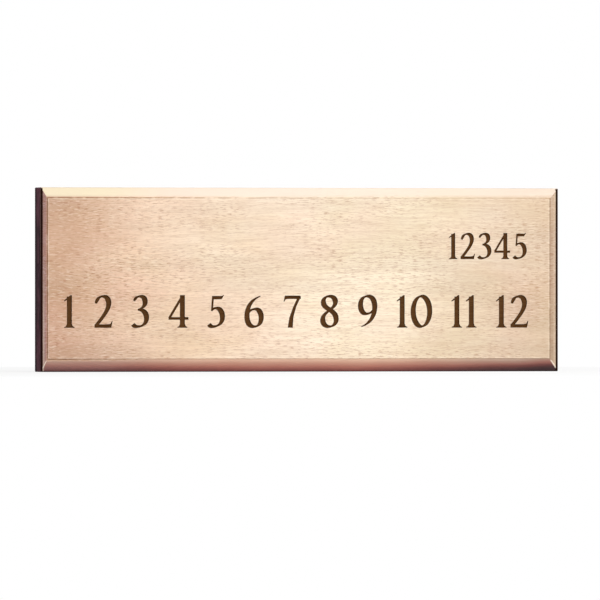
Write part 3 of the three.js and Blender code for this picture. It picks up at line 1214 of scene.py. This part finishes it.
@dataclass
class Engraving:
    """The numerals: a row of plain numbers along the lower half and a short number above its right end."""

    row: tuple[str, ...] = ("1", "2", "3", "4", "5", "6", "7", "8", "9", "10", "11", "12")
    row_height: float = 17.1 * MM
    left_margin: float = 11.2 * MM
    right_margin: float = 16.8 * MM
    corner: str = "12345"
    corner_height: float = 13.8 * MM
    corner_margin: float = 17.6 * MM
    share_below: float = 0.305
    share_between: float = 0.358
    depth: float = 0.7 * MM
    draft: float = 0.1 * MM
    overcut: float = 1.0 * MM

    def lines(self, width: float, flat: Edges) -> list[tuple[str, float, float, float]]:
        """Where each number goes.

        Args:
            width: The board's width.
            flat: The flat of its face.

        Returns:
            Each number with its height, left edge and base line.
        """
        free = flat.height - self.row_height - self.corner_height
        row_base = flat.bottom + self.share_below * free
        corner_base = row_base + self.row_height + self.share_between * free
        corner_left = width / 2 - self.corner_margin - self.corner_height * number_width(self.corner)
        found = [(self.corner, self.corner_height, corner_left, corner_base)]
        filled = self.row_height * sum(number_width(text) for text in self.row)
        space = (width - self.left_margin - self.right_margin - filled) / (len(self.row) - 1)
        left = -width / 2 + self.left_margin
        for text in self.row:
            found.append((text, self.row_height, left, row_base))
            left += self.row_height * number_width(text) + space
        return found

    def cutter(self, width: float, flat: Edges, front: float) -> Piece:
        """Makes the closed shapes that the numerals cut out of the face.

        Args:
            width: The board's width.
            flat: The flat of its face.
            front: The plane of the flat.

        Returns:
            The cutter, with walls that slope in by the draft.
        """
        plane = front - self.overcut
        corners: list[Vector] = []
        faces: list[tuple[int, ...]] = []
        for text, height, left, base in self.lines(width, flat):
            for digit in text:
                for patch in NUMERALS[digit].patches:
                    first = len(corners)
                    corners += [Vector((left + height * at.x, plane, base + height * at.y)) for at in patch]
                    faces.append(tuple(range(first, len(corners))))
                left += height * (NUMERALS[digit].width + SPACE)
        mesh = bpy.data.meshes.new("numerals")
        mesh.from_pydata(corners, [], faces)
        cutter = bpy.data.objects.new("numerals", mesh)
        bpy.context.collection.objects.link(cutter)
        with editing(cutter, Part.FACE, lambda face: True):
            bpy.ops.mesh.remove_doubles(threshold=0.001 * MM)
            extrude(self.overcut)
            bpy.ops.mesh.inset(thickness=self.draft, depth=0.0)
            bpy.ops.transform.translate(value=(0.0, self.depth, 0.0))
            bpy.ops.mesh.select_all(action="SELECT")
            bpy.ops.mesh.normals_make_consistent(inside=False)
        return cutter


@dataclass
class FaceBoard:
    """A block with a crowned bevel, a quirk and a raised flat, and the cuts in its face and back."""

    top_bevel: float = 5.2 * MM
    bottom_bevel: float = 6.4 * MM
    left_bevel: float = 2.7 * MM
    right_bevel: float = 4.9 * MM
    bevel_depth: float = 2.6 * MM
    bevel_crown: float = 0.3 * MM
    bevel_steps: int = 8
    quirk_width: float = 0.5 * MM
    quirk_depth: float = 0.5 * MM
    side_round: float = 0.5 * MM
    flat_round: float = 0.14 * MM
    engraving: Engraving = field(default_factory=Engraving)

    def __post_init__(self) -> None:
        """Takes the board's box from the frame."""
        self.low, self.high = (Vector(corner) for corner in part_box("face_board"))
        self.bevel_top = self.low.y + self.quirk_depth
        self.bevel_foot = self.bevel_top + self.bevel_depth
        self.crest = self._outline(1.0)
        crest, quirk = self.crest, self.quirk_width
        self.flat = Edges(crest.left + quirk, crest.right - quirk, crest.bottom + quirk, crest.top - quirk)

    def _outline(self, inward: float) -> Edges:
        """An outline of the board, on its bevels.

        Args:
            inward: How far in it lies, as a share of each bevel.

        Returns:
            The outline.
        """
        return Edges(
            self.low.x + self.left_bevel * inward,
            self.high.x - self.right_bevel * inward,
            self.low.z + self.bottom_bevel * inward,
            self.high.z - self.top_bevel * inward,
        )

    def _outlines(self) -> list[tuple[Edges, float]]:
        """The outlines that the board is drawn out to, one after another.

        Returns:
            Each outline with its plane, from the bevel's foot to the flat.
        """
        found = []
        for step in range(self.bevel_steps + 1):
            inward = step / self.bevel_steps
            crown = 4 * self.bevel_crown * inward * (1 - inward)
            found.append((self._outline(inward), self.bevel_foot - self.bevel_depth * inward - crown))
        return [*found, (self.flat, self.bevel_top), (self.flat, self.low.y)]

    def _blank(self) -> Piece:
        """Models the board before anything is cut into it.

        Returns:
            The closed block.
        """
        depth = self.high.y - self.bevel_foot
        bpy.ops.mesh.primitive_cube_add(
            size=1.0,
            location=(0.0, self.bevel_foot + depth / 2, 0.0),
            scale=(2 * self.high.x, depth, 2 * self.high.z),
        )
        board = settle("hardwood_board")
        outlines = self._outlines()
        with editing(board, Part.FACE, faces_front):
            for (before, plane_before), (after, plane) in zip(outlines, outlines[1:]):
                extrude(plane - plane_before)
                bpy.ops.transform.translate(value=after.middle - before.middle)
                grow = (after.width / before.width, 1.0, after.height / before.height)
                bpy.ops.transform.resize(value=grow, center_override=after.middle)
        behind = self.bevel_foot - NEAR
        with editing(board, Part.EDGE, lambda edge: all(vert.co.y > behind for vert in edge.verts)):
            bpy.ops.mesh.bevel(offset=self.side_round, segments=4, profile=0.5, affect="EDGES")
        with editing(board, Part.EDGE, lambda edge: lies_at(edge, self.low.y)):
            bpy.ops.mesh.bevel(offset=self.flat_round, segments=3, profile=0.5, affect="EDGES")
        return board

    def build(self, hangers: "Hangers") -> None:
        """Models and dresses the board.

        Args:
            hangers: The hangers that are let into its back.
        """
        wood = PaleHardwood("pale_hardwood", self.low, self.high, self.bevel_foot, self.flat, self.crest)
        finish = wood.material()
        board = self._blank()
        dress(board, finish)
        for tool in hangers.seat_tools(self.high.y):
            dress(tool, finish)
            cut(board, tool)
        numerals = self.engraving.cutter(2 * self.high.x, self.flat, self.low.y)
        dress(numerals, Burnt("burnt_hardwood").material())
        cut(board, numerals, crossed=True)
        shade(board)
        place(board, "face_board")


# Hangers, screws and pads


@dataclass
class Hangers:
    """The two keyhole hangers and the screws that hold them.

    Each part of a screw's point has a share of its length and narrows to a share of the part before.
    """

    length: float = 48.0 * MM
    width: float = 16.0 * MM
    thickness: float = 2.0 * MM
    entry: float = 10.0 * MM
    slot: float = 4.8 * MM
    slot_rise: float = 13.0 * MM
    head_margin: float = 0.5 * MM
    head_depth: float = 5.5 * MM
    screw_inset: float = 5.0 * MM
    screw: float = 3.0 * MM
    screw_head: float = 6.0 * MM
    screw_rim: float = 0.2 * MM
    screw_length: float = 12.0 * MM
    screw_point: float = 3.0 * MM
    point_parts: tuple[Point, ...] = ((0.6, 0.5), (0.4, 0.12))
    pilot_spare: float = 0.5 * MM
    cross_length: float = 3.4 * MM
    cross_width: float = 0.8 * MM
    cross_depth: float = 1.1 * MM
    cross_taper: float = 0.55
    plate_round: float = 0.18 * MM
    screw_round: float = 0.05 * MM
    gap: float = 0.3 * MM
    overcut: float = 1.0 * MM
    sides: tuple[str, str] = ("left", "right")

    def __post_init__(self) -> None:
        """Works out the heights on a hanger from its middle."""
        self.end_centre = (self.length - self.width) / 2
        self.entry_rise = (self.entry / 2 - self.slot / 2 - self.slot_rise) / 2
        self.slot_top = self.entry_rise + self.slot_rise
        self.screw_rise = self.length / 2 - self.screw_inset

    def centre(self, side: str) -> Vector:
        """The middle of a hanger's back, from the frame."""
        low, high = (Vector(corner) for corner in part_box(f"keyhole_plate_{side}"))
        return Vector(((low.x + high.x) / 2, high.y, (low.z + high.z) / 2))

    def _screw_rooms(self, at: Vector) -> list[Piece]:
        """The room of each screw of a hanger, countersink and pilot hole, to be cut away."""
        upper = self._screw_shape("screw_room", at, self.gap, self.screw_length + self.pilot_spare, 0.0)
        return [upper, copied(upper, "screw_room_lower", Vector((0.0, 0.0, -2 * self.screw_rise)))]

    def _screw_shape(self, name: str, at: Vector, gap: float, length: float, point: float) -> Piece:
        """Models the outline of a hanger's upper screw, or with a gap the room round it.

        Args:
            name: Its name.
            at: The middle of the hanger's back.
            gap: How far the outline lies outside the screw.
            length: The length below the hanger's back.
            point: The length of the point.

        Returns:
            The closed shape, with its axis along Y.
        """
        head = self.screw_head / 2 + gap
        shank = self.screw / 2 + gap
        top = at.y + (self.overcut if gap else 0.0)
        axis = Vector((at.x, 0.0, at.z + self.screw_rise))
        shape = round_bar(name, head, (at.y - self.screw_rim, top), axis.x, axis.z, 48)
        with editing(shape, Part.FACE, faces_front):
            extrude(shank - head, shank / head, axis)
            extrude(-(length - self.screw_rim - (head - shank) - point))
            for share, grow in self.point_parts if point else ():
                extrude(-point * share, grow, axis)
        return shape

    def seat_tools(self, back: float) -> list[Piece]:
        """Models the shapes that the board loses behind one hanger, and copies them to the other.

        Args:
            back: The plane of the board's back.

        Returns:
            The seat, the head pocket and the screws' rooms of each hanger.
        """
        at = self.centre(self.sides[0])
        low, high = at.z - self.end_centre, at.z + self.end_centre
        foot, top = at.z + self.entry_rise, at.z + self.slot_top
        front, behind = at.y - self.thickness, back + self.overcut
        seat = round_slot("seat", self.width / 2 + self.gap, (front, behind), at.x, low, high)
        radius = self.entry / 2 + self.head_margin
        pocket = round_slot("pocket", radius, (front - self.head_depth, behind), at.x, foot, top)
        tools = [seat, pocket, *self._screw_rooms(at)]
        move = self.centre(self.sides[1]) - at
        return tools + [copied(tool, f"{tool.name}_{self.sides[1]}", move) for tool in tools]

    def _plate(self, side: str) -> Piece:
        """Models one hanger.

        Args:
            side: left or right.

        Returns:
            The plate with its keyhole and countersunk holes.
        """
        at = self.centre(side)
        span = (at.y - self.thickness, at.y)
        through = (span[0] - self.overcut, span[1] + self.overcut)
        low, high = at.z - self.end_centre, at.z + self.end_centre
        plate = round_slot(f"hanger_plate_{side}", self.width / 2, span, at.x, low, high)
        foot, top = at.z + self.entry_rise, at.z + self.slot_top
        entry = round_bar("entry", self.entry / 2, through, at.x, foot)
        slot = round_slot("slot", self.slot / 2, through, at.x, foot, top)
        for tool in (entry, slot, *self._screw_rooms(at)):
            cut(plate, tool)
        soften(plate, self.plate_round, steps=3, least=35.0)
        return plate

    def _screw(self, side: str) -> Piece:
        """Models a hanger's upper wood screw, countersunk, with a cross recess.

        Args:
            side: left or right.

        Returns:
            The screw.
        """
        at = self.centre(side)
        head = at + Vector((0.0, 0.0, self.screw_rise))
        name = f"hanger_screw_{side}_upper"
        screw = self._screw_shape(name, at, 0.0, self.screw_length, self.screw_point)
        for turn in (0.0, math.pi / 2):
            bpy.ops.mesh.primitive_cube_add(
                size=1.0,
                location=head,
                rotation=(0.0, turn, 0.0),
                scale=(self.cross_length, 2 * self.cross_depth, self.cross_width),
            )
            arm = settle("cross_arm")
            with editing(arm, Part.FACE, faces_front):
                centre = head - Vector((0.0, self.cross_depth, 0.0))
                narrow = (self.cross_taper, 1.0, self.cross_taper)
                bpy.ops.transform.resize(value=narrow, center_override=centre)
            cut(screw, arm)
        soften(screw, self.screw_round, steps=2, least=40.0)
        return screw

    def build(self) -> None:
        """Models one hanger and one screw, and sets them out in all their places."""
        zinc = PlatedSteel("bright_zinc", srgb(200, 202, 206), srgb(150, 154, 160)).material()
        gold = PlatedSteel("yellow_zinc", srgb(224, 200, 140), srgb(196, 158, 112), 0.26).material()
        first, second = self.sides
        plates = {first: Vector(), second: self.centre(second) - self.centre(first)}
        down = Vector((0.0, 0.0, -2 * self.screw_rise))
        screws = {}
        for side, move in plates.items():
            screws |= {f"{side}_upper": move, f"{side}_lower": move + down}
        plate, screw = self._plate(first), self._screw(first)
        set_out(plate, zinc, "hanger_plate", "keyhole_plate", plates)
        set_out(screw, gold, "hanger_screw", "plate_screw", screws)


@dataclass
class WallPads:
    """The four rubber discs between the board and the wall."""

    arris: float = 0.4 * MM
    groove_inset: float = 1.5 * MM
    groove_width: float = 0.5 * MM
    groove_depth: float = 0.25 * MM
    corners: tuple[str, ...] = ("top_left", "top_right", "bottom_left", "bottom_right")

    def centre(self, corner: str) -> Vector:
        """The middle of a pad, from the frame."""
        low, high = (Vector(end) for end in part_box(f"wall_pad_{corner}"))
        return (low + high) / 2

    def _disc(self, corner: str) -> Piece:
        """Models one pad, with a moulded groove in its wall side.

        Args:
            corner: The corner that it lies in.

        Returns:
            The pad.
        """
        low, high = (Vector(end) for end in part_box(f"wall_pad_{corner}"))
        centre = self.centre(corner)
        radius = (high.z - low.z) / 2

        def on_rim(edge: bmesh.types.BMEdge) -> bool:
            """Whether an edge lies on the pad's rim at the wall."""
            nearest = min((vert.co - centre).xz.length for vert in edge.verts)
            return lies_at(edge, high.y) and nearest > radius - NEAR

        pad = round_bar(f"rubber_pad_{corner}", radius, (low.y, high.y), centre.x, centre.z, 72)
        with editing(pad, Part.FACE, lambda face: face.normal.y > 0.9):
            bpy.ops.mesh.inset(thickness=self.groove_inset)
            bpy.ops.mesh.inset(thickness=self.groove_width / 2, depth=-self.groove_depth)
            bpy.ops.mesh.inset(thickness=self.groove_width / 2, depth=self.groove_depth)
        with editing(pad, Part.EDGE, on_rim):
            bpy.ops.mesh.bevel(offset=self.arris, segments=4, profile=0.5, affect="EDGES")
        return pad

    def build(self) -> None:
        """Models one pad, and sets it out in all four corners."""
        rubber = MattRubber("matt_rubber").material()
        first = self.corners[0]
        moves = {corner: self.centre(corner) - self.centre(first) for corner in self.corners}
        set_out(self._disc(first), rubber, "rubber_pad", "wall_pad", moves)


# Studio


@dataclass(frozen=True)
class Lamp:
    """A square soft lamp that points at the plate: its power in watts, its side and its place."""

    name: str
    power: float
    side: float
    at: tuple[float, float, float]

    def hang(self) -> None:
        """Adds the lamp to the scene."""
        at = Vector(self.at)
        data = bpy.data.lights.new(self.name, "AREA")
        data.energy = self.power
        data.size = self.side
        lamp = bpy.data.objects.new(self.name, data)
        lamp.location = at
        lamp.rotation_euler = (-at).to_track_quat("-Z", "Y").to_euler()
        bpy.context.collection.objects.link(lamp)


@dataclass
class Studio:
    """The floor, the lamps, the world and the camera, with the plate where the photograph has it."""

    picture: int = 600
    pixels_per_metre: float = 1901.6
    object_at: tuple[float, float] = (297.7, 279.75)
    azimuth: float = -13.5
    elevation: float = 0.0
    distance: float = 6.0
    floor_radius: float = 4.0
    floor_gap: float = 0.05 * MM
    shadow_ends: tuple[float, float] = (0.15, 0.5)
    shadow_veil: float = 0.76
    floor_colour: Colour = srgb(240, 240, 240)
    ambient: float = 0.33
    lamps: tuple[Lamp, ...] = (
        Lamp("key_lamp", 15.5, 1.0, (0.35, -1.0, 0.95)),
        Lamp("fill_lamp", 1.5, 1.2, (-0.9, -1.2, 0.2)),
        Lamp("back_lamp", 7.0, 1.0, (0.5, 1.1, 0.8)),
    )

    def _floor(self) -> None:
        """Lays a pale floor that keeps a faint shadow near the plate and runs into white farther out."""
        low, _ = CAD_BOX
        height = low[2] - self.floor_gap
        bpy.ops.mesh.primitive_circle_add(
            vertices=96, radius=self.floor_radius, fill_type="NGON", location=(0.0, 0.0, height)
        )
        floor = settle("floor")
        made = bpy.data.materials.new("pale_floor")
        wiring = Wiring(made)
        x, y, _ = wiring.place()
        veil = (x * x + y * y).power(0.5).rise(*self.shadow_ends).most(self.shadow_veil)
        pale = wiring.node("BsdfDiffuse", inputs={"Color": self.floor_colour}).outputs[0]
        white = wiring.node("Emission", inputs={"Color": WHITE, "Strength": 1.0}).outputs[0]
        shown = wiring.node("MixShader", inputs={0: veil * wiring.seen(), 1: pale, 2: white}).outputs[0]
        wiring.node("OutputMaterial", inputs={"Surface": shown})
        dress(floor, made)

    def _world(self) -> None:
        """Lights the set evenly, and shows plain white to the camera, gloss and glass past its edge."""
        world = bpy.data.worlds.new("studio")
        bpy.context.scene.world = world
        wiring = Wiring(world)
        strength = self.ambient + wiring.seen() * (1.0 - self.ambient)
        sky = wiring.node("Background", inputs={"Color": WHITE, "Strength": strength})
        wiring.node("OutputWorld", inputs={"Surface": sky.outputs[0]})

    def _camera(self) -> None:
        """Sets up the camera at the photograph's viewing angle."""
        low, high = (Vector(corner) for corner in CAD_BOX)
        turn, rise = math.radians(self.azimuth), math.radians(self.elevation)
        out = Vector((math.sin(turn) * math.cos(rise), -math.cos(turn) * math.cos(rise), math.sin(rise)))
        right = Vector((math.cos(turn), math.sin(turn), 0.0))
        up = right.cross(-out)
        half = self.picture / 2
        aside = (half - self.object_at[0]) / self.pixels_per_metre
        down = (half - self.object_at[1]) / self.pixels_per_metre
        data = bpy.data.cameras.new("camera")
        data.lens = data.sensor_width * self.distance * self.pixels_per_metre / self.picture
        data.clip_end = 100.0
        camera = bpy.data.objects.new("camera", data)
        camera.location = (low + high) / 2 + out * self.distance + right * aside - up * down
        camera.rotation_euler = (-out).to_track_quat("-Z", "Y").to_euler()
        bpy.context.collection.objects.link(camera)
        bpy.context.scene.camera = camera

    def build(self) -> None:
        """Sets the whole studio up."""
        self._floor()
        for lamp in self.lamps:
            lamp.hang()
        self._world()
        self._camera()
        bpy.context.scene.view_settings.view_transform = "Standard"
        log.info("studio: camera at %.1f degrees", self.azimuth)


def main() -> None:
    """Builds the plate and the studio in order."""
    logging.basicConfig(level=logging.INFO, format="%(name)s: %(message)s")
    Studio().build()
    hangers = Hangers()
    FaceBoard().build(hangers)
    hangers.build()
    WallPads().build()


if __name__ == "__main__":
    main()
